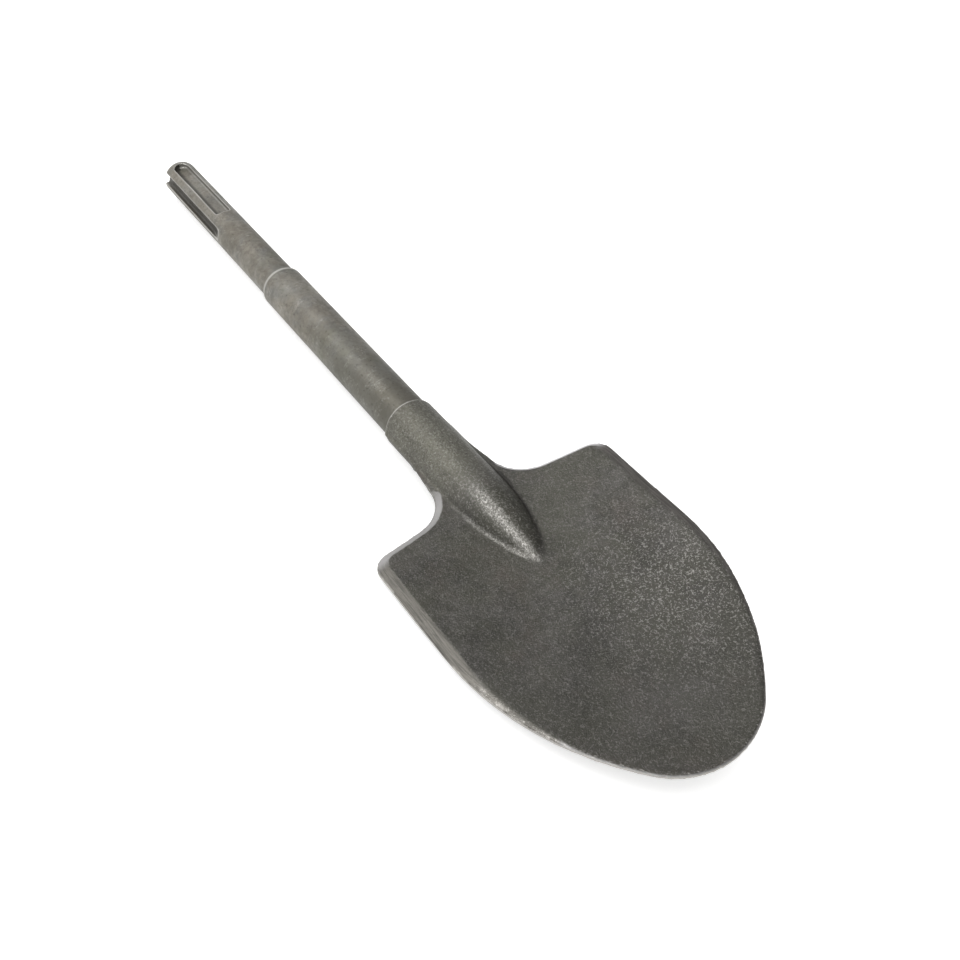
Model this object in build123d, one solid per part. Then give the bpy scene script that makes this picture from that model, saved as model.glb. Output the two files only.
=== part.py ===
from build123d import *
import os
from math import asin, atan2, cos, degrees, hypot, radians, sin, sqrt

os.makedirs("parts", exist_ok=True)

# Asphalt spade chisel, in millimetres. +X runs from the struck end of the shank to the cutting edge,
# and the origin is the centre of the struck end.
# The tool lies as it comes to rest, on its neck and one blade edge.

# Round sections along the axis
shank_diameter = 18.0
shank_length = 124.8
collar_diameter = 20.5
collar_length = 117.0
neck_diameter = 23.2
neck_length = 52.0
nose_length = 41.0
nose_end_diameter = 7.0
end_chamfer = 0.9
shoulder_chamfer = 0.45

# Grooves in the shank
pattern_turn = -3.0
lock_width = 7.5
lock_depth = 2.7
lock_start = 2.8
lock_length = 58.2
drive_angle = 163.0
drive_width = 5.2
drive_depth = 2.9
drive_length = 70.0
drive_runout_radius = 22.0
twin_width = 5.0
twin_angle = 25.0
floor_round = 1.1

# Blade in plan
blade_width = 104.4
blade_length = 133.0
side_length = 49.5
tip_radius = 32.0
corner_radius = 8.6
root_radius = 17.5
shoulder_lean = 12.5
flare_length = 30.0
flare_width = 4.0
tongue_overhang = 0.6

# Blade in section
blade_thickness = 6.8
dish_radius = 243.0
blade_pitch = 0.8
face_height = 2.8
land_height = 1.5
tongue_depth_front = 5.0
tongue_depth_rear = 1.6

# Bevels round the blade: widths in plan, the upper one also by its slope to the face
bevel_slope = 0.38
bevel_shoulder = 3.0
bevel_side = 4.7
bevel_tip = 1.0
bevel_worn = 1.9
bevel_step = 4.0
near_taper_start = 82.0
near_taper_end = 34.0
far_taper_start = 96.0
far_taper_end = 34.0
draft_width = 2.8
cutting_bevel = 16.0
cutting_bevel_start = 52.0

# Sizes that follow from the ones above
collar_end = shank_length + collar_length
neck_end = collar_end + neck_length
blade_half = blade_width / 2
tongue_half = neck_diameter / 2 + tongue_overhang
shoulder_x = neck_end + shank_diameter / 2
tip_x = shoulder_x + blade_length
slack = blade_thickness / 3


# Height of the blade's upper face above the axis
def face_z(x, y, depth=0.0):
    radius = dish_radius + depth
    return face_height - depth + radius - sqrt(radius**2 - y**2) + (x - neck_end) * sin(radians(blade_pitch))


# Round body: shank, collar, neck and the pointed nose that runs out in the blade
def round_body():
    r1, r2, r3, r4 = (d / 2 for d in (shank_diameter, collar_diameter, neck_diameter, nose_end_diameter))
    c = shoulder_chamfer
    drop = r3 - r4
    arc_radius = (nose_length**2 + drop**2) / (2 * drop)
    middle = asin(nose_length / arc_radius) / 2
    nose_middle = (neck_end + arc_radius * sin(middle), r3 - arc_radius * (1 - cos(middle)))
    nose_end = (neck_end + nose_length, r4)
    profile = [
        Polyline((0, 0), (0, r1 - end_chamfer), (end_chamfer, r1), (shank_length, r1)),
        Polyline((shank_length, r1), (shank_length, r2 - c), (shank_length + c, r2), (collar_end, r2)),
        Polyline((collar_end, r2), (collar_end, r3 - c), (collar_end + c, r3), (neck_end, r3)),
        ThreePointArc((neck_end, r3), nose_middle, nose_end),
        Polyline(nose_end, (neck_end + nose_length + r4, 0), (0, 0)),
    ]
    return revolve(Plane.XZ * make_face(profile), Axis.X)


# Closed groove that holds the tool in: round at the struck end, square with rounded corners at the other
def lock_groove(angle):
    half = lock_width / 2
    end = lock_start + lock_length
    plan = make_face([
        ThreePointArc((lock_start + half, -half), (lock_start, 0), (lock_start + half, half)),
        Polyline((lock_start + half, half), (end, half), (end, -half), (lock_start + half, -half)),
    ])
    plan = fillet(plan.vertices().sort_by(Axis.X)[-2:], half * 0.6)
    bottom = shank_diameter / 2 - lock_depth
    cutter = Pos(Z=bottom) * extrude(plan, lock_depth * 2)
    cutter = fillet(cutter.faces().sort_by(Axis.Z)[0].edges(), floor_round)
    return Rot(X=angle - 90) * cutter


# Open groove that turns the tool: it runs out at the struck end and rises on a cutter's arc at the other
def drive_groove(angle, width):
    bottom = shank_diameter / 2 - drive_depth
    rise = drive_depth + slack
    run = sqrt(drive_runout_radius**2 - (drive_runout_radius - rise) ** 2)
    start = drive_length - sqrt(drive_runout_radius**2 - (drive_runout_radius - drive_depth) ** 2)
    half_turn = asin(run / drive_runout_radius) / 2
    middle_x = start + drive_runout_radius * sin(half_turn)
    middle_z = bottom + drive_runout_radius * (1 - cos(half_turn))
    side = make_face([
        Polyline((start + run, bottom + rise), (-slack, bottom + rise), (-slack, bottom), (start, bottom)),
        ThreePointArc((start, bottom), (middle_x, middle_z), (start + run, bottom + rise)),
    ])
    cutter = extrude(Plane.XZ * side, width / 2, both=True)
    floor_edges = cutter.edges().filter_by(Axis.X).sort_by(Axis.Z)[:2]
    return Rot(X=angle - 90) * fillet(floor_edges, floor_round)


# Points where an arc of the given radius rounds the corner b between a and c
def rounded(a, b, c, radius):
    a, b, c = Vector(*a), Vector(*b), Vector(*c)
    back, ahead = (a - b).normalized(), (c - b).normalized()
    half = radians(back.get_angle(ahead)) / 2
    reach = radius * cos(half) / sin(half)
    inner = (back + ahead).normalized()
    return b + back * reach, b + inner * (radius / sin(half) - radius), b + ahead * reach


# Half of the blade's outline in plan, from the neck to the tip
def half_outline():
    root = (neck_end - flare_length, tongue_half)
    lean = sin(radians(shoulder_lean)) / cos(radians(shoulder_lean))
    neck_corner_y = tongue_half + flare_width
    neck_corner = (shoulder_x - (blade_half - neck_corner_y) * lean, neck_corner_y)
    side_corner = (shoulder_x, blade_half)
    side_end = (shoulder_x + side_length, blade_half)
    r1, r2, r3 = rounded(root, neck_corner, side_corner, root_radius)
    c1, c2, c3 = rounded(neck_corner, side_corner, side_end, corner_radius)
    tip_centre = tip_x - tip_radius
    reach = tip_centre - side_end[0]
    flank_radius = (reach**2 / (blade_half - tip_radius) + blade_half + tip_radius) / 2
    flank_centre = Vector(side_end[0], blade_half - flank_radius)
    turn = atan2(reach, -flank_centre.Y)
    flank_mid = flank_centre + Vector(sin(turn / 2), cos(turn / 2)) * flank_radius
    join = Vector(tip_centre, 0) + Vector(sin(turn), cos(turn)) * tip_radius
    tip_turn = (turn + radians(90)) / 2
    tip_mid = Vector(tip_centre, 0) + Vector(sin(tip_turn), cos(tip_turn)) * tip_radius
    return Wire([
        Line(root, r1), ThreePointArc(r1, r2, r3), Line(r3, c1), ThreePointArc(c1, c2, c3),
        Line(c3, side_end), ThreePointArc(side_end, flank_mid, join), ThreePointArc(join, tip_mid, (tip_x, 0)),
    ])


# Eases from 0 to 1 as t goes from low to high
def ease(t, low, high):
    t = min(max((t - low) / (high - low), 0.0), 1.0)
    return t * t * (3 - 2 * t)


# Plan widths of the upper and the lower bevel at an outline point
def bevel_widths(x, y):
    start, end = (near_taper_start, near_taper_end) if y < 0 else (far_taper_start, far_taper_end)
    at_corner = ease(abs(y), blade_half - corner_radius, blade_half)
    top = bevel_shoulder + (bevel_side - bevel_shoulder) * at_corner
    if x > shoulder_x + side_length / 2:
        top = bevel_side
    top += (bevel_worn - bevel_side) * min(max((x - tip_x + start) / (start - end), 0), 1)
    top += (bevel_tip - bevel_worn) * ease(x, tip_x - end, tip_x - end + bevel_step)
    at_tip = ease(x, tip_x - cutting_bevel_start, tip_x - cutting_bevel)
    low = draft_width + (cutting_bevel - draft_width) * at_tip
    return top, low


# Solid on one side of a bevel, along one edge of the outline: a ruled surface drawn out upwards or downwards
def bevel_cutter(edge, side, upper):
    count = 6 + round(edge.length / bevel_step)
    outer, inner = [], []
    for step in range(count + 1):
        at, along = edge.position_at(step / count), edge.tangent_at(step / count)
        x, y = at.X, at.Y * side
        top, low = bevel_widths(x, y)
        width = top if upper else low
        inside = Vector(x + along.Y * width, y - along.X * side * width)
        edge_z = face_z(x, y) - top * bevel_slope
        if upper:
            ends = edge_z, face_z(inside.X, inside.Y)
        else:
            ends = edge_z - land_height, face_z(inside.X, inside.Y, blade_thickness)
        start, end = Vector(x, y, ends[0]), Vector(inside.X, inside.Y, ends[1])
        reach = (end - start) * (slack / width)
        outer.append(start - reach)
        inner.append(end + reach)
    surface = Face.make_surface_from_curves(Edge.make_spline(outer), Edge.make_spline(inner))
    return extrude(surface, blade_thickness * 3, dir=(0, 0, 1 if upper else -1))


# Dished blade: the outline cut from a tube wall, bevelled above, drafted and ground below
def blade():
    half = half_outline()
    other = mirror(half, about=Plane.XZ)
    root = Line(half @ 0, other @ 0)
    outline = make_face(half.edges() + other.edges() + [root])
    block = Pos(Z=-dish_radius / 2) * extrude(outline, dish_radius)
    tube_plane = Plane(
        origin=(neck_end, 0, face_height + dish_radius),
        z_dir=(cos(radians(blade_pitch)), 0, sin(radians(blade_pitch))),
    )
    tube = Cylinder(dish_radius + blade_thickness, tip_x) - Cylinder(dish_radius, tip_x)
    plate = block & (tube_plane * tube)
    plate = plate.solids().sort_by(Axis.Z)[0]
    for upper in (True, False):
        plate -= [bevel_cutter(edge, side, upper) for edge in half.edges() for side in (-1, 1)]
    return plate


# Narrow ledge where the forging dies meet, along both sides of the neck
def tongue():
    front = neck_end - flare_length / 2
    rear_top = face_z(collar_end, tongue_half) - bevel_slope
    front_top = face_z(front, tongue_half) - bevel_slope
    rear = collar_end + shoulder_chamfer
    side = make_face(Polyline(
        (rear, rear_top), (front, front_top), (front, front_top - tongue_depth_front),
        (rear, rear_top - tongue_depth_rear), close=True,
    ))
    return extrude(Plane.XZ * side, tongue_half, both=True)


# Turn about the axis at which the neck and the lower rim of one blade edge both touch the floor
def rest_roll():
    y = blade_half - draft_width
    z = face_z(shoulder_x + corner_radius, y, blade_thickness)
    return degrees(atan2(z, y) + asin(neck_diameter / 2 / hypot(y, z)))


def spade_chisel():
    body = round_body()
    for angle in (90, 270):
        body -= lock_groove(angle + pattern_turn)
    body -= drive_groove(drive_angle + pattern_turn, drive_width)
    for angle in (twin_angle, -twin_angle):
        body -= drive_groove(drive_angle + 180 + angle + pattern_turn, twin_width)
    body = body + tongue() + blade()
    return Rot(X=rest_roll()) * body


export_step(spade_chisel(), "parts/spade_chisel.step")
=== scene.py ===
import bpy
import bmesh
import math
from mathutils import Matrix, Vector, kdtree, noise


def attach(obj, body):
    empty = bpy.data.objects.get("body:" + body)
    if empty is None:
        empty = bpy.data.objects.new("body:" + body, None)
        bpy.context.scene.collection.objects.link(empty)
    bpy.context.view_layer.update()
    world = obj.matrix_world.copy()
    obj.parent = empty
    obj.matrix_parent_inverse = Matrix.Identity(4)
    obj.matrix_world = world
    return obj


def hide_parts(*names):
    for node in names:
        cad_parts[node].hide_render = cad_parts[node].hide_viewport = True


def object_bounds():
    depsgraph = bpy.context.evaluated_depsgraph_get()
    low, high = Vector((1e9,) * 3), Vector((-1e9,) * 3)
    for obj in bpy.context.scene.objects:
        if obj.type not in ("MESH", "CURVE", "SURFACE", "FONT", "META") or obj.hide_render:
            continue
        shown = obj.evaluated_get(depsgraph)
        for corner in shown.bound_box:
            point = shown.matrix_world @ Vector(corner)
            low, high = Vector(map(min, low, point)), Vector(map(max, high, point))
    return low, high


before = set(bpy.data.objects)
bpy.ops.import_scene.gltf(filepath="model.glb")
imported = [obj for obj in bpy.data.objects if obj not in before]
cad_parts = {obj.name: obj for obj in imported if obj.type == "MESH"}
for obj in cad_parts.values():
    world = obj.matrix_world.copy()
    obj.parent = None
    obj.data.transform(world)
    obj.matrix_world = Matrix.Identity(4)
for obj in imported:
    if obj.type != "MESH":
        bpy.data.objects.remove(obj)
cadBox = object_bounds()
mm = 0.001
print("frame loaded")


# The tool lies rolled about its own axis. Shapes and patterns are worked out unrolled, in millimetres,
# from the struck end towards the cutting edge, with the blade's face up.
form = {
    "node": "spade_chisel",
    "shankRadius": 9.0,
    "collarRadius": 10.25,
    "neckRadius": 11.6,
    "shankEnd": 124.8,
    "collarEnd": 241.8,
    "neckEnd": 293.8,
    "shoulderX": 302.8,
    "tipX": 435.8,
    "bladeHalf": 52.2,
    "thickness": 6.8,
    "dishRadius": 243.0,
    "pitch": 0.8,
    "faceHeight": 2.8,
    "draftWidth": 2.8,
    "cornerRadius": 8.6,
}


def ease(t, low, high):  # smooth step from 0 to 1
    t = min(max((t - low) / (high - low), 0.0), 1.0)
    return t * t * (3 - 2 * t)


def faceHeight(x, y, depth=0.0):  # height of the blade's face above the axis
    radius = form["dishRadius"] + depth
    rise = (x - form["neckEnd"]) * math.sin(math.radians(form["pitch"]))
    return form["faceHeight"] - depth + radius - math.sqrt(radius**2 - y**2) + rise


def restRoll():  # the turn at which the neck and one blade edge both touch the floor
    y = form["bladeHalf"] - form["draftWidth"]
    z = faceHeight(form["shoulderX"] + form["cornerRadius"], y, form["thickness"])
    return math.atan2(z, y) + math.asin(form["neckRadius"] / math.hypot(y, z))


rolled = Matrix.Rotation(restRoll(), 4, "X")
unrolled = rolled.inverted()


def unrolledPlace(v):  # in millimetres
    return unrolled @ v.co * 1000


# Outline of the blade, used to place the rim's finish. Each taper runs between two distances from the tip.
rim = {
    "sideLength": 49.5,
    "tipRadius": 32.0,
    "leanDegrees": 12.5,
    "neckCorner": 16.2,
    "tongueHalf": 12.2,
    "flareStart": 263.8,
    "rootRadius": 17.5,
    "shoulderWidth": 3.0,
    "sideWidth": 4.7,
    "wornWidth": 1.9,
    "tipWidth": 1.0,
    "nearTaper": (82.0, 34.0),
    "farTaper": (96.0, 34.0),
    "stepLength": 4.0,
    "slope": 0.38,
    "cornerSteps": 12,
    "arcSteps": 30,
    "gap": 0.15,
    "bandStart": (274.0, 286.0),
    "beforeBand": (5.0, 3.0),  # added to depth and share there, so that the neck has no band
}


def roundedCorner(a, b, c, radius):  # points of an arc that rounds corner b
    back, ahead = (a - b).normalized(), (c - b).normalized()
    half = back.angle(ahead) / 2
    middle = (back + ahead).normalized()
    centre = b + middle * (radius / math.sin(half))
    sweep = math.pi / 2 - half
    across = Vector((-middle.y, middle.x))
    across *= 1 if across.dot(back) > 0 else -1
    steps = rim["cornerSteps"]
    turns = [sweep * (1 - 2 * i / steps) for i in range(steps + 1)]
    return [centre + (across * math.sin(t) - middle * math.cos(t)) * radius for t in turns]


def arcPoints(centreX, centreY, radius, low, high, first):  # turning from straight out to straight ahead
    steps = rim["arcSteps"]
    turns = [low + (high - low) * i / steps for i in range(first, steps + 1)]
    return [Vector((centreX + radius * math.sin(t), centreY + radius * math.cos(t))) for t in turns]


def bladeOutline():  # one half, from the neck to the tip
    half, tip = form["bladeHalf"], rim["tipRadius"]
    lean = math.tan(math.radians(rim["leanDegrees"]))
    root = Vector((rim["flareStart"], rim["tongueHalf"]))
    inner = Vector((form["shoulderX"] - (half - rim["neckCorner"]) * lean, rim["neckCorner"]))
    outer = Vector((form["shoulderX"], half))
    sideEnd = Vector((form["shoulderX"] + rim["sideLength"], half))
    tipCentre = form["tipX"] - tip
    reach = tipCentre - sideEnd.x
    flank = (reach**2 / (half - tip) + half + tip) / 2
    turn = math.atan2(reach, flank - half)
    points = [Vector((form["collarEnd"], rim["tongueHalf"])), root]
    points += roundedCorner(root, inner, outer, rim["rootRadius"])
    points += roundedCorner(inner, outer, sideEnd, form["cornerRadius"])
    points += arcPoints(sideEnd.x, half - flank, flank, 0, turn, 0)
    return points + arcPoints(tipCentre, 0, tip, turn, math.pi / 2, 1)


def spacedPoints(points, gap):
    out = []
    for a, b in zip(points, points[1:]):
        count = max(1, round((b - a).length / gap))
        out += [a.lerp(b, i / count) for i in range(count)]
    return out + [points[-1]]


def bevelWidth(x, y):  # width in plan of the bevel on the face's rim
    start, end = rim["nearTaper"] if y < 0 else rim["farTaper"]
    shoulder, side, worn, tip = (rim[k] for k in ("shoulderWidth", "sideWidth", "wornWidth", "tipWidth"))
    atCorner = ease(abs(y), form["bladeHalf"] - form["cornerRadius"], form["bladeHalf"])
    width = shoulder + (side - shoulder) * atCorner
    if x > form["shoulderX"] + rim["sideLength"] / 2:
        width = side
    width += (worn - side) * min(max((x - form["tipX"] + start) / (start - end), 0), 1)
    return width + (tip - worn) * ease(x, form["tipX"] - end, form["tipX"] - end + rim["stepLength"])


outlineHalf = spacedPoints(bladeOutline(), rim["gap"])
outlineTree = kdtree.KDTree(len(outlineHalf))
for i, p in enumerate(outlineHalf):
    outlineTree.insert((p.x, p.y, 0), i)
outlineTree.balance()
print("outline ready:", len(outlineHalf), "points")


# Meshes
def meshObject(name, bm):
    mesh = bpy.data.meshes.new(name)
    bm.to_mesh(mesh)
    bm.free()
    obj = bpy.data.objects.new(name, mesh)
    bpy.context.scene.collection.objects.link(obj)
    return obj


def cutFromForging(lowX, highX):  # the CAD solid between two planes across the axis, closed again
    bm = bmesh.new()
    bm.from_mesh(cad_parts[form["node"]].data)
    bmesh.ops.remove_doubles(bm, verts=bm.verts, dist=1e-6)
    for x, keepAbove in ((lowX, True), (highX, False)):
        if x is None:
            continue
        bmesh.ops.bisect_plane(
            bm, geom=bm.verts[:] + bm.edges[:] + bm.faces[:], dist=1e-7, plane_co=(x * mm, 0, 0),
            plane_no=(1, 0, 0), clear_inner=keepAbove, clear_outer=not keepAbove,
        )
        bmesh.ops.holes_fill(bm, edges=[e for e in bm.edges if e.is_boundary], sides=0)
    return bm


def smoothed(bm, verts, rounds):
    for _ in range(rounds):
        bmesh.ops.smooth_vert(
            bm, verts=verts, factor=0.5, use_axis_x=True, use_axis_y=True, use_axis_z=True,
        )


def remeshed(name, bm, voxel, rounds, shape):  # even small faces with lightly rounded edges
    obj = meshObject(name, bm)
    remesh = obj.modifiers.new("even faces", "REMESH")
    remesh.mode = "VOXEL"
    remesh.voxel_size = voxel * mm
    remesh.use_smooth_shade = True
    evaluated = obj.evaluated_get(bpy.context.evaluated_depsgraph_get())
    mesh = bpy.data.meshes.new_from_object(evaluated)
    bpy.data.objects.remove(obj)
    bm = bmesh.new()
    bm.from_mesh(mesh)
    smoothed(bm, bm.verts, rounds)
    shape(bm)
    for face in bm.faces:
        face.smooth = True
    return meshObject(name, bm)


def addValues(obj, name, values):
    layer = obj.data.attributes.new(name, "FLOAT", "POINT")
    layer.data.foreach_set("value", values)


def addPlaces(obj):  # unrolled place of every point, in metres, for patterns that follow the tool
    layer = obj.data.attributes.new("place", "FLOAT_VECTOR", "POINT")
    layer.data.foreach_set("vector", [c for v in obj.data.vertices for c in unrolled @ v.co])


def addBends(obj):  # above 0 where the surface is an edge, below 0 where it is a hollow
    mesh = obj.data
    sums, counts = [0.0] * len(mesh.vertices), [0] * len(mesh.vertices)
    places = [v.co.copy() for v in mesh.vertices]
    normals = [v.normal.copy() for v in mesh.vertices]
    for edge in mesh.edges:
        a, b = edge.vertices
        along = (places[a] - places[b]).normalized()
        sums[a] += along.dot(normals[a])
        sums[b] -= along.dot(normals[b])
        counts[a] += 1
        counts[b] += 1
    addValues(obj, "bend", [s / max(c, 1) for s, c in zip(sums, counts)])


ringHighlightBend = 0.35


def brighten(obj, chosen):  # marks points as a rubbed edge, which paints them bright, a painted highlight along a ring
    for item, yes in zip(obj.data.attributes["bend"].data, chosen):
        if yes:
            item.value = ringHighlightBend


# Shader helpers. The tree is the one that the new nodes go into.
def joined(tree, value, socket):  # a number or a colour is set on the socket, an output is linked to it
    if isinstance(value, (int, float)):
        socket.default_value = value
    elif isinstance(value, tuple):
        socket.default_value = (*value, 1)
    else:
        tree.links.new(value, socket)


def socketMath(tree, operation, *inputs):
    node = tree.nodes.new("ShaderNodeMath")
    node.operation = operation
    for socket, value in zip(node.inputs, inputs):
        joined(tree, value, socket)
    return node.outputs[0]


def times(tree, first, *others):
    for other in others:
        first = socketMath(tree, "MULTIPLY", first, other)
    return first


def timesPlus(tree, value, factor, added):
    return socketMath(tree, "MULTIPLY_ADD", value, factor, added)


def larger(tree, a, b):
    return socketMath(tree, "MAXIMUM", a, b)


def fadeNode(tree, value, low, high, atLow=0.0, atHigh=1.0):  # smooth step between two values
    node = tree.nodes.new("ShaderNodeMapRange")
    node.interpolation_type = "SMOOTHSTEP"
    names = ("Value", "From Min", "From Max", "To Min", "To Max")
    for name, given in zip(names, (value, low, high, atLow, atHigh)):
        joined(tree, given, node.inputs[name])
    return node.outputs["Result"]


def noiseNode(tree, vector, scale, detail=3.0, rough=0.55):
    node = tree.nodes.new("ShaderNodeTexNoise")
    names = ("Vector", "Scale", "Detail", "Roughness")
    for name, given in zip(names, (vector, scale, detail, rough)):
        joined(tree, given, node.inputs[name])
    return node.outputs


def threeNoises(tree, vector, scale, detail, rough=0.55):  # Red, Green and Blue
    node = tree.nodes.new("ShaderNodeSeparateColor")
    joined(tree, noiseNode(tree, vector, scale, detail, rough)["Color"], node.inputs["Color"])
    return node.outputs


def mixColors(tree, share, a, b):
    node = tree.nodes.new("ShaderNodeMix")
    node.data_type = "RGBA"
    colors = [i for i in node.inputs if i.type == "RGBA"]
    for socket, value in ((node.inputs["Factor"], share), (colors[0], a), (colors[1], b)):
        joined(tree, value, socket)
    return [o for o in node.outputs if o.type == "RGBA"][0]


def attribute(tree, name, output="Fac"):
    node = tree.nodes.new("ShaderNodeAttribute")
    node.attribute_name = name
    return node.outputs[output]


def splitVector(tree, vector):  # X, Y and Z
    node = tree.nodes.new("ShaderNodeSeparateXYZ")
    joined(tree, vector, node.inputs[0])
    return node.outputs


def stretched(tree, vector, scale, turn=0.0):  # turned about Z, in degrees
    node = tree.nodes.new("ShaderNodeMapping")
    node.inputs["Rotation"].default_value = (0, 0, math.radians(turn))
    node.inputs["Scale"].default_value = scale
    joined(tree, vector, node.inputs["Vector"])
    return node.outputs["Vector"]


def newGroup(name, inputs, outputs):
    tree = bpy.data.node_groups.new(name, "ShaderNodeTree")
    tree.interface.new_socket("Place", in_out="INPUT", socket_type="NodeSocketVector")
    for label, value in inputs.items():
        socket = tree.interface.new_socket(label, in_out="INPUT", socket_type="NodeSocketFloat")
        socket.default_value = value
    for label in outputs:
        tree.interface.new_socket(label, in_out="OUTPUT", socket_type="NodeSocketFloat")
    return tree, tree.nodes.new("NodeGroupInput").outputs, tree.nodes.new("NodeGroupOutput").inputs


def placed(tree, group, **inputs):
    node = tree.nodes.new("ShaderNodeGroup")
    node.node_tree = group
    for name, value in inputs.items():
        joined(tree, value, node.inputs[name])
    return node.outputs


# Effects that both kinds of steel share. Their single scales are factors of the group's own Scale, a noise
# has a detail and a roughness, and a fade has the two values that it runs between and, where they aren't
# 0 and 1, what it gives there.
grainParts = {
    "crustScale": 0.6,
    "crustNoise": (6, 0.75),
    "cellScale": 0.8,
    "curlScale": 0.30,
    "gateScale": 0.55,
    "curlDetail": 1,
    "crustHeight": 2.0,
    "cellHeight": 0.4,
    "curlHeight": 0.25,
    "ridgeFade": (1.15, 1.6),
    "curlFade": (0.010, 0.040, 1.0, 0.0),
    "gateFade": (0.53, 0.60),
}


def blastedGrain():  # small crowded dents of shot blasting, with thin curls whose Glint is used to paint bright glints
    part = grainParts
    tree, start, end = newGroup("blasted grain", {"Scale": 900.0}, ("Height", "Ridge", "Glint"))
    place, scale = start["Place"], start["Scale"]
    crust = noiseNode(tree, place, times(tree, scale, part["crustScale"]), *part["crustNoise"])
    cells = tree.nodes.new("ShaderNodeTexVoronoi")
    joined(tree, times(tree, scale, part["cellScale"]), cells.inputs["Scale"])
    joined(tree, place, cells.inputs["Vector"])
    height = times(tree, crust["Fac"], part["crustHeight"])
    height = timesPlus(tree, cells.outputs["Distance"], part["cellHeight"], height)
    joined(tree, fadeNode(tree, height, *part["ridgeFade"]), end["Ridge"])
    curls = threeNoises(tree, place, times(tree, scale, part["curlScale"]), part["curlDetail"])
    gates = threeNoises(tree, place, times(tree, scale, part["gateScale"]), part["curlDetail"])
    layers = []
    for channel in ("Red", "Green", "Blue"):
        off = socketMath(tree, "ABSOLUTE", socketMath(tree, "SUBTRACT", curls[channel], 0.5))
        line = fadeNode(tree, off, *part["curlFade"])
        layers.append(times(tree, line, fadeNode(tree, gates[channel], *part["gateFade"])))
    glint = larger(tree, larger(tree, *layers[:2]), layers[2])
    joined(tree, glint, end["Glint"])
    joined(tree, timesPlus(tree, glint, part["curlHeight"], height), end["Height"])
    return tree


patchParts = {
    "broadNoise": (4, 0.6),
    "smallScale": 7.0,
    "smallNoise": (4, 0.65),
    "tintScale": 0.8,
    "tintNoise": (5, 0.7),
    "broadShare": 0.55,
    "smallShare": 0.45,
    "shadeFade": (0.36, 0.64),
    "tintFade": (0.38, 0.66),
    "stainFade": (0.50, 0.75),
}


def steelPatches():  # large soft patches broken up by finer mottling
    part = patchParts
    tree, start, end = newGroup("steel patches", {"Scale": 45.0}, ("Shade", "Tint", "Stain"))
    place, scale = start["Place"], start["Scale"]
    broad = noiseNode(tree, place, scale, *part["broadNoise"])["Fac"]
    small = noiseNode(tree, place, times(tree, scale, part["smallScale"]), *part["smallNoise"])["Fac"]
    mixed = timesPlus(tree, small, part["smallShare"], times(tree, broad, part["broadShare"]))
    hue = threeNoises(tree, place, times(tree, scale, part["tintScale"]), *part["tintNoise"])
    joined(tree, fadeNode(tree, mixed, *part["shadeFade"]), end["Shade"])
    joined(tree, fadeNode(tree, hue["Green"], *part["tintFade"]), end["Tint"])
    joined(tree, fadeNode(tree, hue["Blue"], *part["stainFade"]), end["Stain"])
    return tree


edgeParts = {
    "raggedNoise": (4, 0.6),
    "raggedShare": 0.10,
    "wearFade": (0.11, 0.24),
    "hollowShadeFade": (-0.015, -0.075),
}


def wornEdge():  # rubbed edges from the bend of the surface, and painted shade in its hollows
    part = edgeParts
    tree, start, end = newGroup("worn edge", {"Bend": 0.0, "Scale": 300.0}, ("Wear", "HollowShade"))
    ragged = noiseNode(tree, start["Place"], start["Scale"], *part["raggedNoise"])["Fac"]
    bent = timesPlus(tree, ragged, part["raggedShare"], start["Bend"])
    joined(tree, fadeNode(tree, bent, *part["wearFade"]), end["Wear"])
    joined(tree, fadeNode(tree, start["Bend"], *part["hollowShadeFade"]), end["HollowShade"])
    return tree


grainGroup, patchGroup, edgeGroup = blastedGrain(), steelPatches(), wornEdge()


def newMaterial(name):
    mat = bpy.data.materials.new(name)
    mat.use_nodes = True
    return mat, mat.node_tree, mat.node_tree.nodes["Principled BSDF"]


def bumpInto(tree, shader, height, depth):
    bump = tree.nodes.new("ShaderNodeBump")
    bump.inputs["Strength"].default_value = 1.0
    bump.inputs["Distance"].default_value = depth * mm
    joined(tree, height, bump.inputs["Height"])
    joined(tree, bump.outputs["Normal"], shader.inputs["Normal"])


# Forged steel: fades along X and across Y are in metres
forgedLook = {
    "dark": (0.043, 0.041, 0.036),
    "light": (0.096, 0.091, 0.084),
    "olive": (0.078, 0.077, 0.058),
    "brown": (0.088, 0.073, 0.063),
    "ridge": (0.24, 0.23, 0.215),
    "glint": (0.55, 0.53, 0.50),
    "rubbedSheen": (0.33, 0.32, 0.30),
    "neck": (0.124, 0.121, 0.096),
    "edge": (0.52, 0.50, 0.47),
    "dirtAndShade": (0.025, 0.023, 0.020),
    "grainScale": 1900.0,
    "patchScale": 45.0,
    "edgeScale": 500.0,
    "oliveShare": 0.5,
    "stainShare": 0.6,
    "tipShade": (0.345, 0.395, 0.0, 0.35),
    "neckPatches": (0.0, 1.0, 0.55, 1.0),
    "neckAlong": (0.276, 0.306, 1.0, 0.0),
    "neckPits": (0.92, 1.12, 0.75, 0.0),
    "ridgeShare": 0.14,
    "glintWing": (0.374, 0.034, 0.0),
    "glintFade": (0.055, 0.0, 0.14, 0.48),
    "bodyGlint": 0.26,
    "crestGlint": 0.68,
    "sheenGrain": (1.0, 1.5, 0.1, 0.85),
    "wearShare": 0.85,
    "farShadeAcross": (-0.003, 0.003, 0.25, 0.85),
    "roughness": 0.50,
    "neckRoughness": 0.40,
    "polished": 0.34,
    "bandPolish": 0.7,
    "bandGrain": (0.0, 1.0, 1.0, 0.4),
    "bandBrush": 0.2,
    "grainDepth": 0.13,
    "metallic": 0.60,
}


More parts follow.
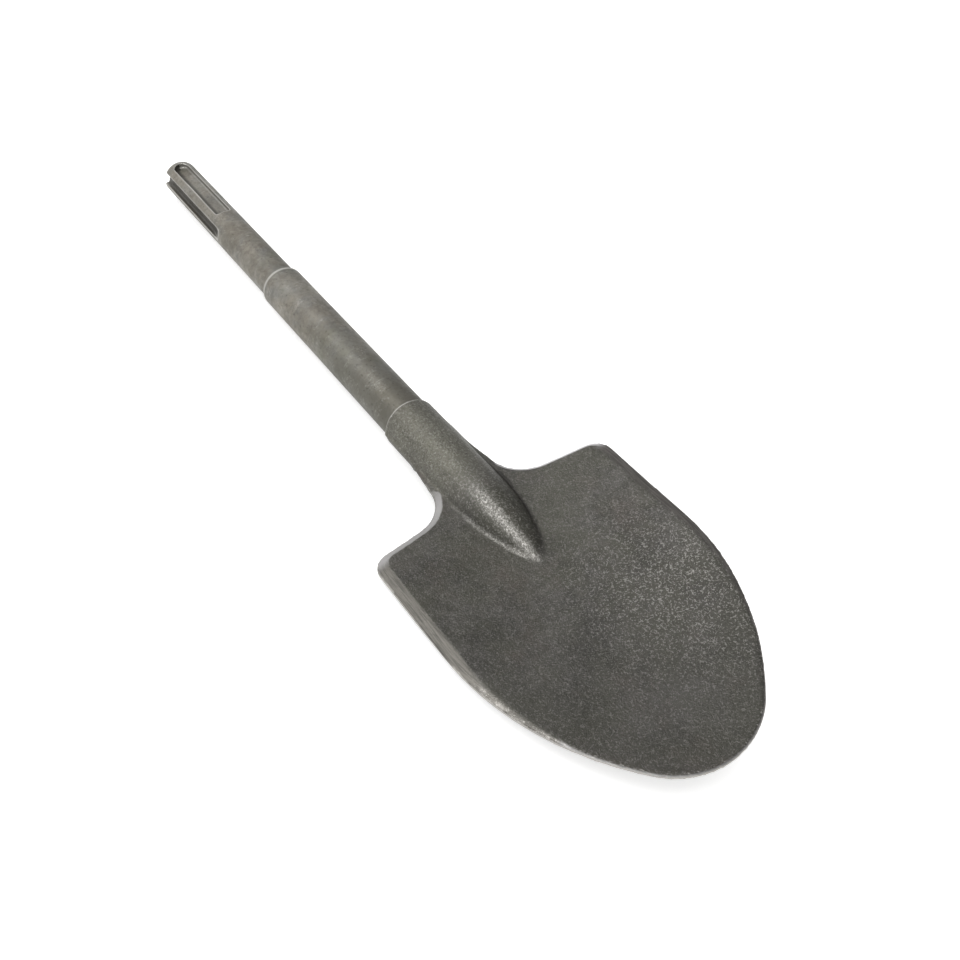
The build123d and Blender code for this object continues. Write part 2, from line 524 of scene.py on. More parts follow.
def forgedFace(tree, place, patches, grain):  # colour of the forging with its painted glints and the rib's painted sheen, and the masks of the neck, whose tone is partly painted light, and of that sheen
    look, along = forgedLook, splitVector(tree, place)["X"]
    base = mixColors(tree, patches["Shade"], look["dark"], look["light"])
    tinted = mixColors(tree, patches["Tint"], look["olive"], base)
    base = mixColors(tree, look["oliveShare"], base, tinted)
    base = mixColors(tree, times(tree, patches["Stain"], look["stainShare"]), base, look["brown"])
    base = mixColors(tree, fadeNode(tree, along, *look["tipShade"]), base, look["dark"])
    roundBody, ribSheen = attribute(tree, "roundBody"), attribute(tree, "ribSheen")
    # a lighter olive tone on the neck and the underside: partly their own colour, partly painted light
    # that the round neck catches
    neck = times(
        tree, roundBody, fadeNode(tree, patches["Shade"], *look["neckPatches"]),
        fadeNode(tree, along, *look["neckAlong"]),
    )
    base = mixColors(tree, neck, base, look["neck"])
    pits = fadeNode(tree, grain["Height"], *look["neckPits"])
    base = mixColors(tree, times(tree, pits, neck), base, look["dirtAndShade"])
    base = mixColors(tree, times(tree, grain["Ridge"], look["ridgeShare"]), base, look["ridge"])
    # painted glints: bright grain specks, most on the right wing where the lamp's reflection falls, and on
    # the neck and the rib's crest
    toWing = tree.nodes.new("ShaderNodeVectorMath")
    toWing.operation = "DISTANCE"
    joined(tree, place, toWing.inputs[0])
    toWing.inputs[1].default_value = look["glintWing"]
    shine = fadeNode(tree, toWing.outputs["Value"], *look["glintFade"])
    shine = larger(tree, shine, times(tree, roundBody, look["bodyGlint"]))
    shine = larger(tree, shine, times(tree, ribSheen, look["crestGlint"]))
    # painted sheen on the rib's crest and a painted highlight along its near foot, lighter where the grain
    # stands high
    sheen = times(tree, ribSheen, fadeNode(tree, grain["Height"], *look["sheenGrain"]))
    base = mixColors(tree, sheen, base, look["rubbedSheen"])
    base = mixColors(tree, times(tree, shine, grain["Glint"]), base, look["glint"])
    return base, neck, ribSheen


# The blade's rim: a ground bevel, given one colour on the near side and another on the far side and bright
# shoulders as painted light and shade, a dark line where the dies met and a bright land below it.
# Shares are of the bevel's width. Depths and drops are in millimetres, drops below 0 under the bevel.
rimLook = {
    "near": (0.135, 0.127, 0.112),
    "far": (0.165, 0.152, 0.142),
    "shoulder": (0.62, 0.61, 0.62),
    "raggedScale": 260.0,
    "raggedNoise": (4, 0.65),
    "nearAcross": (-0.006, 0.006, 1.0, 0.0),
    "raggedBorder": 0.34,
    "sharpBorder": (0.360, 0.378, 1.08, 0.45),
    "softBorder": (0.0, 1.0, 0.72, 1.15),
    "borderEnd": 1.30,
    "aboveDraft": (-2.2, -1.7),
    "startAlong": (0.279, 0.292, 0.2, 1.0),
    "shoulderAlong": (0.304, 0.309, 1.0, 0.0),
    "brushScale": (0.09, 2.2, 2.2),
    "brushFade": (0.35, 0.6, 0.7, 0.0),
    "wornAlong": (0.362, 0.378),
    "wornSpecks": (0.45, 0.65, 0.0, 0.5),
    "wornFade": (0.3, 0.9, 0.75, 0.25),
    "tipAlong": (0.399, 0.404),
    "tipAcross": (0.005, 0.030, 0.55, 0.10),
    "farAcross": (-0.004, 0.004),
    "nearShoulder": 0.45,
    "innerFade": (0.35, 0.65),
    "bandShare": 0.92,
    "landDepth": (0.5, 0.9, 1.0, 0.0),
    "landDrop": (-0.45, -0.15, 1.0, 0.0),
    "landShare": 0.8,
    "seamDrop": 0.15,
    "seamDepth": 0.55,
    "raggedSeam": 0.3,
    "seamFade": (0.25, 0.5, 1.0, 0.0),
    "seamAlong": (0.350, 0.375, 0.75, 0.0),
}


def rimFinish(tree, place, grain, base):  # adds the rim to the forging's colour
    look, split = rimLook, splitVector(tree, place)
    along, across = split["X"], split["Y"]
    share, drop, depth = (attribute(tree, name) for name in ("rimShare", "rimDrop", "rimDepth"))
    ragged = noiseNode(tree, place, look["raggedScale"], *look["raggedNoise"])["Fac"]
    onRim = fadeNode(tree, drop, *look["aboveDraft"]), fadeNode(tree, along, *look["startAlong"])
    near = fadeNode(tree, across, *look["nearAcross"])
    sharpBorder = fadeNode(tree, along, *look["sharpBorder"])
    border = socketMath(tree, "MINIMUM", sharpBorder, fadeNode(tree, near, *look["softBorder"]))
    band = timesPlus(tree, ragged, look["raggedBorder"], share)
    band = times(tree, fadeNode(tree, band, border, look["borderEnd"], 1.0, 0.0), *onRim)
    shoulder = fadeNode(tree, along, *look["shoulderAlong"])
    near = larger(tree, near, shoulder)

    alongRim = tree.nodes.new("ShaderNodeCombineXYZ")
    for axis, value in (("X", attribute(tree, "rimAlong")), ("Y", depth), ("Z", drop)):
        joined(tree, value, alongRim.inputs[axis])
    brushed = noiseNode(tree, stretched(tree, alongRim.outputs[0], look["brushScale"]), 1.0)["Fac"]
    # the bevel gets one colour on the near side and another on the far side: painted light and shade on
    # one finish
    color = mixColors(tree, near, look["far"], look["near"])
    color = mixColors(tree, fadeNode(tree, brushed, *look["brushFade"]), color, forgedLook["dark"])
    # worn speckles on the near side by the tip, partly painted glints
    specks = larger(tree, grain["Glint"], fadeNode(tree, ragged, *look["wornSpecks"]))
    worn = times(
        tree, fadeNode(tree, along, *look["wornAlong"]), near, specks,
        fadeNode(tree, share, *look["wornFade"]),
    )
    color = mixColors(tree, worn, color, forgedLook["edge"])
    # a painted highlight line along the tip's edge, strongest on the near side
    tip = times(tree, fadeNode(tree, along, *look["tipAlong"]), fadeNode(tree, across, *look["tipAcross"]))
    color = mixColors(tree, tip, color, look["shoulder"])
    # the shoulders painted bright as if lit, the far shoulder most
    farShoulder = times(tree, fadeNode(tree, across, *look["farAcross"]), shoulder)
    bright = times(tree, shoulder, fadeNode(tree, farShoulder, 0.0, 1.0, look["nearShoulder"], 1.0))
    color = mixColors(tree, bright, color, look["shoulder"])
    inner = times(tree, farShoulder, fadeNode(tree, share, *look["innerFade"]))
    band = times(tree, band, fadeNode(tree, inner, 0.0, 1.0, 1.0, 0.0))
    base = mixColors(tree, times(tree, band, look["bandShare"]), base, color)

    land = times(
        tree, fadeNode(tree, depth, *look["landDepth"]), fadeNode(tree, drop, *look["landDrop"]), *onRim,
    )
    base = mixColors(tree, times(tree, land, look["landShare"]), base, forgedLook["edge"])
    away = socketMath(tree, "ABSOLUTE", socketMath(tree, "ADD", drop, look["seamDrop"]))
    away = larger(tree, away, socketMath(tree, "SUBTRACT", depth, look["seamDepth"]))
    seam = fadeNode(tree, timesPlus(tree, ragged, look["raggedSeam"], away), *look["seamFade"])
    seam = times(tree, seam, times(tree, near, fadeNode(tree, along, *look["seamAlong"])))
    return mixColors(tree, seam, base, forgedLook["dirtAndShade"]), band, brushed


def forgedSteel():
    look = forgedLook
    mat, tree, shader = newMaterial("forged steel")
    place = attribute(tree, "place", "Vector")
    patches = placed(tree, patchGroup, Place=place, Scale=look["patchScale"])
    grain = placed(tree, grainGroup, Place=place, Scale=look["grainScale"])
    edges = placed(tree, edgeGroup, Place=place, Bend=attribute(tree, "bend"), Scale=look["edgeScale"])
    base, neck, ribSheen = forgedFace(tree, place, patches, grain)
    base, band, brushed = rimFinish(tree, place, grain, base)
    base = mixColors(tree, times(tree, edges["Wear"], look["wearShare"]), base, look["edge"])
    # painted shade in the hollows, darker on the far side
    farShade = fadeNode(tree, splitVector(tree, place)["Y"], *look["farShadeAcross"])
    base = mixColors(tree, times(tree, edges["HollowShade"], farShade), base, look["dirtAndShade"])
    joined(tree, base, shader.inputs["Base Color"])
    shader.inputs["Metallic"].default_value = look["metallic"]
    rubbedSheen = larger(tree, grain["Ridge"], times(tree, band, look["bandPolish"]))
    rough = fadeNode(tree, neck, 0.0, 1.0, look["roughness"], look["neckRoughness"])
    rough = fadeNode(tree, larger(tree, rubbedSheen, ribSheen), 0.0, 1.0, rough, look["polished"])
    joined(tree, rough, shader.inputs["Roughness"])
    relief = times(tree, grain["Height"], fadeNode(tree, band, *look["bandGrain"]))
    relief = timesPlus(tree, brushed, times(tree, band, look["bandBrush"]), relief)
    bumpInto(tree, shader, relief, look["grainDepth"])
    return mat


# Turned steel of the shank and the collar
turnedLook = {
    "dark": (0.100, 0.097, 0.079),
    "light": (0.275, 0.265, 0.228),
    "warm": (0.222, 0.195, 0.160),
    "cool": (0.216, 0.214, 0.208),
    "olive": (0.178, 0.180, 0.128),
    "edge": (0.52, 0.51, 0.48),
    "dirtAndShade": (0.045, 0.042, 0.036),
    "patchScale": 60.0,
    "grainScale": 1700.0,
    "edgeScale": 700.0,
    "speckScale": 700.0,
    "handledScale": 130.0,
    "noise": (3, 0.6),  # of the specks, the streaks and the handled patches
    "lineScale": (2600.0, 60.0, 60.0),
    "streakScale": (1200.0, 110.0, 110.0),
    "streakTurn": 38.0,
    "tintShare": 0.5,
    "darkAlong": (0.150, 0.235, 0.0, 0.62),
    "stainAcross": (-0.0045, -0.009, 0.0, 0.45),
    "stainAlong": (0.165, 0.205),
    "speckFade": (0.58, 0.70, 0.0, 0.5),
    "handledFade": (0.48, 0.62),
    "streakDark": (0.30, 0.52, 0.07, 0.0),
    "streakBright": (0.58, 0.70, 0.0, 0.28),
    "fleckShare": 0.25,
    "wearShare": 0.65,
    "hollowShare": 0.25,
    "shadeShare": 0.85,
    "roughness": (0.50, 0.38),
    "lineRelief": 0.8,
    "streakRelief": 0.5,
    "grainRelief": 0.35,
    "reliefDepth": 0.05,
    "metallic": 0.7,
}


def turnedSteel():
    look = turnedLook
    mat, tree, shader = newMaterial("turned steel")
    place = attribute(tree, "place", "Vector")
    split = splitVector(tree, place)
    patches = placed(tree, patchGroup, Place=place, Scale=look["patchScale"])
    grain = placed(tree, grainGroup, Place=place, Scale=look["grainScale"])
    edges = placed(tree, edgeGroup, Place=place, Bend=attribute(tree, "bend"), Scale=look["edgeScale"])
    base = mixColors(tree, patches["Shade"], look["dark"], look["light"])
    tinted = mixColors(tree, patches["Tint"], look["warm"], look["cool"])
    tinted = mixColors(tree, patches["Stain"], tinted, look["olive"])
    base = mixColors(tree, look["tintShare"], base, tinted)
    base = mixColors(tree, fadeNode(tree, split["X"], *look["darkAlong"]), base, look["dark"])
    stained = times(
        tree, fadeNode(tree, split["Y"], *look["stainAcross"]),
        fadeNode(tree, split["X"], *look["stainAlong"]),
    )
    base = mixColors(tree, stained, base, look["dark"])
    specks = noiseNode(tree, place, look["speckScale"], *look["noise"])["Fac"]
    base = mixColors(tree, fadeNode(tree, specks, *look["speckFade"]), base, look["dirtAndShade"])

    lines = noiseNode(tree, stretched(tree, place, look["lineScale"]), 1.0)["Fac"]
    slanted = stretched(tree, place, look["streakScale"], look["streakTurn"])
    streaks = noiseNode(tree, slanted, 1.0, *look["noise"])["Fac"]
    handled = noiseNode(tree, place, look["handledScale"], *look["noise"])["Fac"]
    handled = fadeNode(tree, handled, *look["handledFade"])
    base = mixColors(tree, fadeNode(tree, streaks, *look["streakDark"]), base, look["dark"])
    scratches = times(tree, handled, fadeNode(tree, streaks, *look["streakBright"]))
    base = mixColors(tree, scratches, base, look["edge"])
    # painted glints in the handled patches
    flecks = times(tree, handled, times(tree, grain["Glint"], look["fleckShare"]))
    base = mixColors(tree, flecks, base, look["edge"])
    wear = larger(tree, edges["Wear"], attribute(tree, "grooveRim"))
    base = mixColors(tree, times(tree, wear, look["wearShare"]), base, look["edge"])
    # painted shade in the hollows and the grooves
    dirtAndShade = larger(tree, times(tree, edges["HollowShade"], look["hollowShare"]), attribute(tree, "grooveShade"))
    base = mixColors(tree, times(tree, dirtAndShade, look["shadeShare"]), base, look["dirtAndShade"])
    joined(tree, base, shader.inputs["Base Color"])
    shader.inputs["Metallic"].default_value = look["metallic"]
    rough = fadeNode(tree, patches["Shade"], 0.0, 1.0, *look["roughness"])
    joined(tree, rough, shader.inputs["Roughness"])
    relief = timesPlus(tree, lines, look["lineRelief"], times(tree, streaks, look["streakRelief"]))
    relief = timesPlus(tree, grain["Height"], look["grainRelief"], relief)
    bumpInto(tree, shader, relief, look["reliefDepth"])
    return mat


def finished(obj, material):
    addPlaces(obj)
    addBends(obj)
    obj.data.materials.append(material)
    print(obj.name + ":", len(obj.data.polygons), "faces")
    return obj


# Blade, rib and neck: one rough forging
forging = {
    "voxel": 0.66,
    "smoothing": 2,
    "swells": ((0.045, 0.30), (0.5, 0.06)),  # how close together, and how deep
    "noseLength": 41.0,
    "noseEnd": 3.5,
    "ring": 0.75,
    "settleReach": 0.3,
    "settleSpan": (242.8, 332.8),
    "settleAbove": 1.5,  # the face
    "settleBelow": -6.0,  # the axis
    "settleAside": 2.0,
    "settleShare": 1.15,
    "footZone": (285.8, 16.0),
    "footReach": 1.5,
    "footRounds": 5,
    "borderSide": 20.0,
    "borderShares": (0.55, 1.6),
    "borderRounds": 14,
    # where the painted sheen lies on the rib, and the painted highlight line along its near foot
    "sheenAngle": 110.0,
    "sheenReach": (3.0, 21.0),
    "sheenWider": (14.0, 316.0, 332.0),
    "sheenStart": (289.8, 307.8),
    "sheenEnd": (334.0, 338.0),
    "footHighlight": (0.4, 1.5),
    "footStart": (296.0, 306.0),
    "footEnd": (332.0, 336.0),
    "footHighlightShare": 0.75,
    "bodyFade": (0.3, 1.4),
    "underFade": (0.0, 6.0),
}


def bodyRadius(x):  # of the neck and of the rib that it runs out in
    t = x - form["neckEnd"]
    drop = form["neckRadius"] - forging["noseEnd"]
    arc = (forging["noseLength"] ** 2 + drop**2) / (2 * drop)
    if t <= 0:
        return form["neckRadius"]
    if t < forging["noseLength"]:
        return form["neckRadius"] - arc + math.sqrt(arc**2 - t**2)
    return max(forging["noseEnd"] - (t - forging["noseLength"]), 0)


def offBody(p):  # height above the neck or the rib
    return math.hypot(p.y, p.z) - bodyRadius(p.x)


# Depth in from the outline in millimetres and as a share of the bevel's width, height above the bevel's
# outer edge (below 0 on the land under it), and length along the outline
def rimMeasures(p):
    found, index, depth = outlineTree.find((p.x, abs(p.y), 0))
    y = math.copysign(found.y, p.y)
    width = bevelWidth(found.x, y)
    drop = p.z - faceHeight(found.x, y) + width * rim["slope"]
    away = 1 - ease(p.x, *rim["bandStart"])
    moreDepth, moreShare = rim["beforeBand"]
    return depth + away * moreDepth, depth / width + away * moreShare, drop, index * rim["gap"]


def settleForms(bm):  # puts the broad faces exactly on their forms, free of the even grid's ripple
    reach, aside = forging["settleReach"], forging["settleAside"]
    low, high = forging["settleSpan"]
    for v in bm.verts:
        p = unrolledPlace(v)
        off, above = offBody(p), p.z - faceHeight(p.x, p.y)
        clear = above > forging["settleAbove"] or p.z < forging["settleBelow"]
        if abs(off) < reach and low < p.x < high and clear:
            p.yz = p.yz * (1 - off / p.yz.length)
        elif off > aside and abs(above) < reach and rimMeasures(p)[1] > forging["settleShare"]:
            p.z -= above
        elif off > aside and abs(above + form["thickness"]) < reach * 2:
            below = p.z - faceHeight(p.x, p.y, form["thickness"])
            p.z -= below if abs(below) < reach else 0
        v.co = rolled @ (p * mm)


def softenFoot(bm):  # the rolled fillet where the rib stands on the face
    start, side = forging["footZone"]
    foot = []
    for v in bm.verts:
        p = unrolledPlace(v)
        if p.x > start and abs(p.y) < side and p.z > 0:
            if max(offBody(p), p.z - faceHeight(p.x, p.y)) < forging["footReach"]:
                foot.append(v)
    smoothed(bm, foot, forging["footRounds"])


def softenBorder(bm):  # the far side's bevel blends into the face
    low, high = forging["borderShares"]
    soft = []
    for v in bm.verts:
        p = unrolledPlace(v)
        if p.y > forging["borderSide"] and p.z > 0 and low < rimMeasures(p)[1] < high:
            soft.append(v)
    smoothed(bm, soft, forging["borderRounds"])


def shapeForging(bm):
    settleForms(bm)
    softenFoot(bm)
    softenBorder(bm)


def ribSheenShare(p):  # painted sheen along the rib's crest, on the side the light falls on, and a painted highlight line along its near foot
    angle = math.degrees(math.atan2(p.z, p.y))
    low, high = forging["sheenReach"]
    wider, start, end = forging["sheenWider"]
    near = 1 - ease(abs(angle - forging["sheenAngle"]), low, high + wider * ease(p.x, start, end))
    near *= ease(p.x, *forging["sheenStart"]) * (1 - ease(p.x, *forging["sheenEnd"]))
    if p.y > 0 or p.z < 0:
        return near
    away = max(abs(offBody(p)), abs(p.z - faceHeight(p.x, p.y)))
    foot = 1 - ease(away, *forging["footHighlight"])
    foot *= ease(p.x, *forging["footStart"]) * (1 - ease(p.x, *forging["footEnd"]))
    return max(near, forging["footHighlightShare"] * foot)


def bodyShare(p):  # 1 on the neck, the rib and the underside
    if p.z > 0:
        return 1 - ease(offBody(p), *forging["bodyFade"])
    return ease(-p.z, *forging["underFade"])


def roughen(obj):  # low swells and shallow pits of the forging, always inwards
    normals = [v.normal.copy() for v in obj.data.vertices]
    for v, normal in zip(obj.data.vertices, normals):
        p = unrolledPlace(v)
        depth = sum((noise.noise(p * scale) + 1) / 2 * size for scale, size in forging["swells"])
        v.co -= normal * depth * mm


def makeBlade():
    solid = cutFromForging(form["collarEnd"], None)
    obj = remeshed("blade", solid, forging["voxel"], forging["smoothing"], shapeForging)
    places = [unrolledPlace(v) for v in obj.data.vertices]
    measures = [rimMeasures(p) for p in places]
    for column, name in enumerate(("rimDepth", "rimShare", "rimDrop", "rimAlong")):
        addValues(obj, name, [m[column] for m in measures])
    addValues(obj, "roundBody", [bodyShare(p) for p in places])
    addValues(obj, "ribSheen", [ribSheenShare(p) for p in places])
    roughen(obj)
    finished(obj, forgedSteel())
    # the ring at the neck's start painted bright, a painted highlight along its edge
    ringEnd = form["collarEnd"] + forging["ring"]
    brighten(obj, [p.x < ringEnd and math.hypot(p.y, p.z) > form["collarRadius"] for p in places])
    return obj


# Shank with its five grooves: two closed ones that lock the tool in, and three open ones that turn it
shank = {
    "voxel": 0.36,
    "smoothing": 1,
    "lap": 0.4,
    "lockAngles": (87.0, 267.0),
    "lockHalf": 3.75,
    "lockDepth": 2.7,
    "lockSpan": (2.8, 61.0),
    "lockCorner": 2.25,
    "lockFoot": (-1.4, -0.6),
    "lockFootReach": 0.3,
    "lockShade": (0.2, 20.0, 60.0),
    "driveGrooves": ((160.0, 2.6), (315.0, 2.5), (5.0, 2.5)),
    "driveEnd": 70.0,
    "driveDepth": 2.9,
    "driveRound": 0.1,  # of the far end, in plan
    "driveSkin": 0.3,
    "driveShade": (0.7, 2.2),
    "rimReach": (0.3, 0.8),
    "rimInside": 0.3,
    "footReach": (1.5, 3.2),
    "wallReach": 0.2,
    "endBand": (1.4, 2.6),
    "endSkin": 1.0,
    "skin": 0.5,
    "softShine": 0.45,
    "settleReach": 0.15,
    "settleStart": 2.0,
    "settleShine": 0.02,
    "floorReach": 0.12,
    "floorInside": 1.3,
}


def turnedTo(p, degrees):  # the point as it lies when the groove at this angle faces up
    a = math.radians(90 - degrees)
    return p.x, p.y * math.cos(a) - p.z * math.sin(a), p.y * math.sin(a) + p.z * math.cos(a)


def outsideLock(x, y):  # distance in plan from the closed groove's wall, below 0 inside
    low, high = shank["lockSpan"]
    half, corner = shank["lockHalf"], shank["lockCorner"]
    if x < low + half:
        return math.hypot(x - low - half, y) - half
    over, aside = x - high + corner, abs(y) - half + corner
    return math.hypot(max(over, 0), max(aside, 0)) + min(max(over, aside), 0) - corner


def lockMarks(p, angle, depth):
    x, y, z = turnedTo(p, angle)
    off = outsideLock(x, y)
    shine = dirtAndShade = 0.0
    if z < 0:
        return shine, dirtAndShade
    if depth < shank["skin"] and off > -shank["rimInside"]:
        shine = 1 - ease(off, *shank["rimReach"])
    # a painted highlight strip inside the closed groove, on one side only
    if depth > shank["skin"] and y > 0 and shank["lockFoot"][0] < off < shank["lockFootReach"]:
        shine = shank["softShine"] * ease(off, *shank["lockFoot"])
    # painted shade: the floor's corner darker on one side only, and the floor darker along the groove
    # towards the collar
    if depth > shank["skin"] and off < shank["wallReach"]:
        most, start, end = shank["lockShade"]
        corner = 1 - ease(-off, *shank["footReach"])
        dirtAndShade = max(corner if y < 0 else 0.0, most * ease(x, start, end))
    return shine, dirtAndShade


def driveMarks(p, angle, half, depth):
    x, y, z = turnedTo(p, angle)
    off = max(abs(y) - half, x - shank["driveEnd"] + shank["driveRound"] * y * y)
    shine = dirtAndShade = 0.0
    if z < form["shankRadius"] - shank["driveDepth"] - shank["driveSkin"]:
        return shine, dirtAndShade
    if depth < shank["skin"] and off > -shank["rimInside"]:
        shine = 1 - ease(off, *shank["rimReach"])
    # painted shade: the drive grooves darker with depth
    if depth > shank["driveSkin"] and off < shank["wallReach"]:
        dirtAndShade = ease(depth, *shank["driveShade"])
    return shine, dirtAndShade


def grooveMarks(p):  # how far a point is on a groove's rubbed rim and on the painted highlight in a closed groove, and how deep in the grooves' painted shade
    depth = form["shankRadius"] - math.hypot(p.y, p.z)
    atEnd = shank["softShine"] * (1 - ease(p.x, *shank["endBand"]))
    marks = [(atEnd if depth < shank["endSkin"] else 0.0, 0.0)]
    marks += [lockMarks(p, angle, depth) for angle in shank["lockAngles"]]
    marks += [driveMarks(p, angle, half, depth) for angle, half in shank["driveGrooves"]]
    return max(shine for shine, dirtAndShade in marks), max(dirtAndShade for shine, dirtAndShade in marks)


def settleShank(bm):  # the round and the groove floors exactly on their forms
    radius, reach = form["shankRadius"], shank["settleReach"]
    floor = radius - shank["lockDepth"]
    for v in bm.verts:
        v.co.x = max(v.co.x, 0)
        p = unrolledPlace(v)
        out = p.yz.length
        if abs(out - radius) < reach and p.x > shank["settleStart"]:
            if grooveMarks(p)[0] < shank["settleShine"]:
                p.yz = p.yz * (radius / out)
                v.co = rolled @ (p * mm)
                continue
        for angle in shank["lockAngles"]:
            x, y, z = turnedTo(p, angle)
            onFloor = z > 0 and abs(z - floor) < shank["floorReach"]
            if onFloor and outsideLock(x, y) < -shank["floorInside"]:
                v.co = rolled @ (Vector(turnedTo(Vector((x, y, floor)), 180 - angle)) * mm)


def makeShank():
    solid = cutFromForging(None, form["shankEnd"] + shank["lap"])
    obj = remeshed("shank", solid, shank["voxel"], shank["smoothing"], settleShank)
    marks = [grooveMarks(unrolledPlace(v)) for v in obj.data.vertices]
    addValues(obj, "grooveRim", [shine for shine, dirtAndShade in marks])
    addValues(obj, "grooveShade", [dirtAndShade for shine, dirtAndShade in marks])
    return finished(obj, turned)


# Collar between shank and neck. The ring at its start is painted bright: a rubbed edge and a painted
# highlight along it.
collar = {
    "chamfer": 0.45,
    "chamferFoot": 0.25,
    "steps": 160,
    "lap": 0.6,
    "rings": 60,
    "sharpDegrees": 35.0,
    "ringWidth": 1.2,
    "ringInner": 0.5,
}


def makeCollar():
    bm = bmesh.new()
    r, c = form["collarRadius"] * mm, collar["chamfer"] * mm
    low, high = form["shankEnd"] * mm, (form["collarEnd"] + collar["lap"]) * mm
    chamfer = [(low, r - c), (low + c / 2, r - c * collar["chamferFoot"]), (low + c, r)]
    profile = [(low, 0), *chamfer, (high, r), (high, 0)]
    verts = [bm.verts.new((x, 0, z)) for x, z in profile]
    edges = [bm.edges.new(pair) for pair in zip(verts, verts[1:])]
    bmesh.ops.spin(
        bm, geom=verts + edges, cent=(0, 0, 0), axis=(1, 0, 0), angle=math.tau, steps=collar["steps"],
        use_merge=True,
    )
    bmesh.ops.remove_doubles(bm, verts=bm.verts, dist=1e-7)
    long = [e for e in bm.edges if abs(e.verts[0].co.x - e.verts[1].co.x) > (high - low) / 2]
    bmesh.ops.subdivide_edges(bm, edges=long, cuts=collar["rings"])
    bmesh.ops.recalc_face_normals(bm, faces=bm.faces)
    for face in bm.faces:
        face.smooth = True
    obj = meshObject("collar", bm)
    obj.data.set_sharp_from_angle(angle=math.radians(collar["sharpDegrees"]))
    finished(obj, turned)
    ringEnd, ringInner = low + c * collar["ringWidth"], r * collar["ringInner"]
    brighten(obj, [v.co.x < ringEnd and v.co.yz.length > ringInner for v in obj.data.vertices])
    return obj


turned = turnedSteel()
pieces = [makeBlade(), makeShank(), makeCollar()]
for piece in pieces:
    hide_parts(form["node"])
    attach(piece, "root")
print("pieces placed")


# Camera, measured from the photograph, in the unrolled frame
view = {
    "place": (549.70, -137.50, 318.66),
    "right": (0.54956, 0.83156, -0.08058),
    "down": (0.58010, -0.44921, -0.67948),
    "ahead": (-0.60123, 0.32667, -0.72926),
    "focal": 1123.5,
    "frame": 960,
    "sensor": 36.0,
    "clipStart": 0.01,
}


def makeCamera():
    data = bpy.data.cameras.new("camera")
    data.sensor_width = view["sensor"]
    data.lens = view["focal"] * view["sensor"] / view["frame"]
    data.clip_start = view["clipStart"]
    camera = bpy.data.objects.new("camera", data)
    bpy.context.scene.collection.objects.link(camera)
    turn = Matrix((view["right"], [-c for c in view["down"]], [-c for c in view["ahead"]])).transposed()
    camera.matrix_world = rolled @ (Matrix.Translation(Vector(view["place"]) * mm) @ turn.to_4x4())
    bpy.context.scene.camera = camera


makeCamera()


# Floor, lamps and world. The strip is seen in the steel but adds no plain light, and the top lamp the
# other way round. The steel mirrors a dark far side, with light low down behind the struck end.
studio = {
    "floorSize": 6.0,
    "floorCentre": 0.22,
    "floorColor": (0.80, 0.80, 0.79),
    "floorRoughness": 0.9,
    "floorGlow": 0.62,
    "glossyGlow": 0.45,
    "worldLight": (-0.9, 0.9, 0.75, 0.40),
    "mirroredAcross": (-0.45, 0.05, 0.70, 0.12),
    "mirroredBehind": ((-0.35, -0.65, 0.0, 0.58), (-0.78, -0.92, 0.0, 1.0)),
}

lamps = {
    "strip": {
        "power": 6.5,
        "size": (1.1, 0.46),
        "place": rolled @ Vector((0.20, -0.22, 0.88)),
        "target": (0.32, 0, 0),
        "diffuse": False,
    },
    "top": {
        "power": 7.5,
        "size": (1.3, 1.3),
        "place": (0.25, -0.15, 0.95),
        "target": (0.28, 0, 0),
        "glossy": False,
    },
    "key": {"power": 1.0, "size": (0.8, 0.5), "place": (0.0, -0.95, 0.35), "target": (0.28, 0, 0)},
}


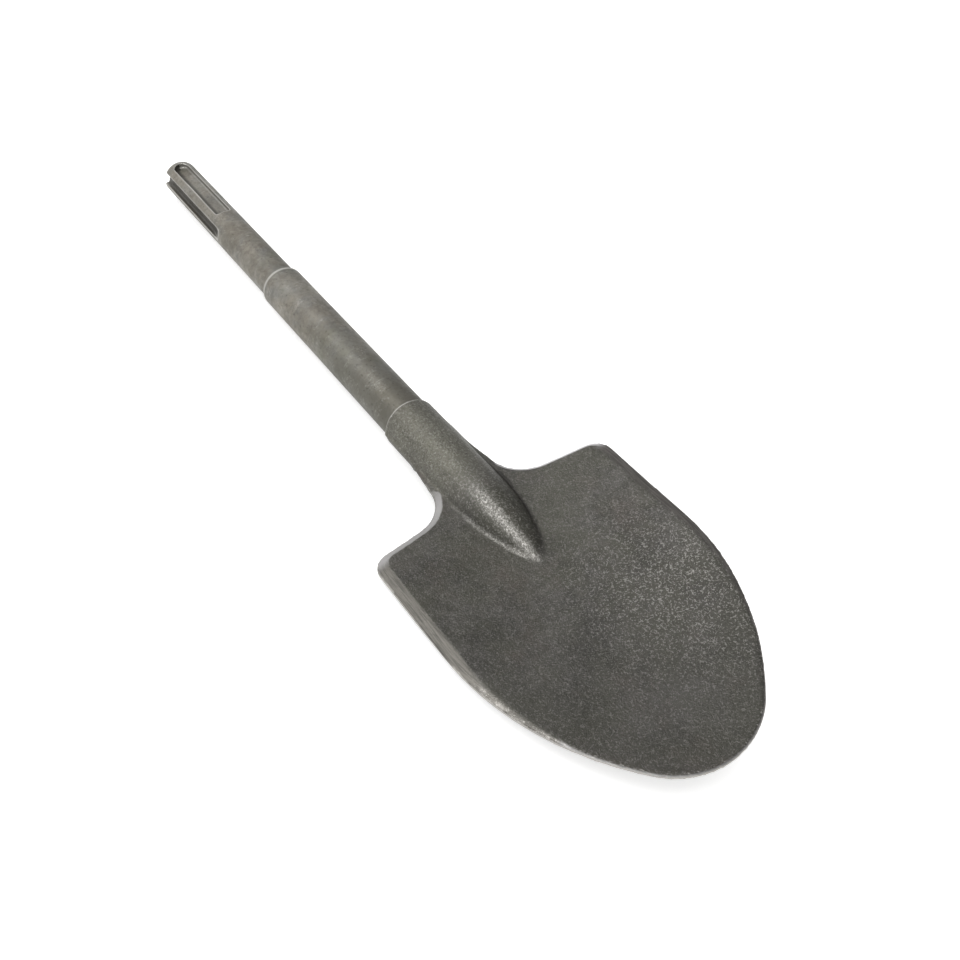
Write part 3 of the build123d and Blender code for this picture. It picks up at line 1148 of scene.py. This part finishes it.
def makeFloor():
    bm = bmesh.new()
    bmesh.ops.create_grid(bm, x_segments=1, y_segments=1, size=studio["floorSize"] / 2)
    floor = meshObject("floor", bm)
    floor.location = (studio["floorCentre"], 0, cadBox[0][2])
    mat, tree, shader = newMaterial("pale floor")
    shader.inputs["Base Color"].default_value = (*studio["floorColor"], 1)
    shader.inputs["Roughness"].default_value = studio["floorRoughness"]
    glow = tree.nodes.new("ShaderNodeEmission")
    glow.inputs["Color"].default_value = (1, 1, 1, 1)
    glow.inputs["Strength"].default_value = studio["floorGlow"]
    seen = tree.nodes.new("ShaderNodeLightPath").outputs
    mirrored = times(tree, seen["Is Glossy Ray"], studio["glossyGlow"])
    glowing, shown = tree.nodes.new("ShaderNodeAddShader"), tree.nodes.new("ShaderNodeMixShader")
    joined(tree, shader.outputs[0], glowing.inputs[0])
    joined(tree, glow.outputs[0], glowing.inputs[1])
    joined(tree, larger(tree, seen["Is Camera Ray"], mirrored), shown.inputs["Fac"])
    joined(tree, shader.outputs[0], shown.inputs[1])
    joined(tree, glowing.outputs[0], shown.inputs[2])
    joined(tree, shown.outputs[0], tree.nodes["Material Output"].inputs["Surface"])
    floor.data.materials.append(mat)


def makeWorld():
    world = bpy.data.worlds.new("world")
    bpy.context.scene.world = world
    world.use_nodes = True
    tree = world.node_tree
    seen = tree.nodes.new("ShaderNodeLightPath").outputs
    split = splitVector(tree, tree.nodes.new("ShaderNodeTexCoord").outputs["Generated"])
    behind = [fadeNode(tree, split["X"], *fade) for fade in studio["mirroredBehind"]]
    mirrored = fadeNode(tree, split["Y"], *studio["mirroredAcross"])
    mirrored = larger(tree, mirrored, socketMath(tree, "ADD", *behind))
    soft, shown = tree.nodes.new("ShaderNodeMix"), tree.nodes.new("ShaderNodeMix")
    joined(tree, seen["Is Glossy Ray"], soft.inputs["Factor"])
    joined(tree, fadeNode(tree, split["Y"], *studio["worldLight"]), soft.inputs["A"])
    joined(tree, mirrored, soft.inputs["B"])
    white = larger(tree, seen["Is Camera Ray"], seen["Is Transmission Ray"])
    for name, value in (("Factor", white), ("A", soft.outputs["Result"]), ("B", 1.0)):
        joined(tree, value, shown.inputs[name])
    background = tree.nodes["Background"]
    background.inputs["Color"].default_value = (1, 1, 1, 1)
    joined(tree, shown.outputs["Result"], background.inputs["Strength"])


def makeLamp(name, power, size, place, target, diffuse=True, glossy=True):  # size is along X and across
    data = bpy.data.lights.new(name, "AREA")
    data.shape = "RECTANGLE"
    data.energy = power
    data.size, data.size_y = size
    lamp = bpy.data.objects.new(name, data)
    bpy.context.scene.collection.objects.link(lamp)
    back = (Vector(place) - Vector(target)).normalized()
    along = (Vector((1, 0, 0)) - back * back.x).normalized()
    turn = Matrix((along, back.cross(along), back)).transposed()
    lamp.matrix_world = Matrix.Translation(place) @ turn.to_4x4()
    lamp.visible_diffuse, lamp.visible_glossy = diffuse, glossy


makeFloor()
makeWorld()
for name, lamp in lamps.items():
    makeLamp(name, **lamp)
bpy.context.scene.view_settings.view_transform = "Standard"
print("stage ready")
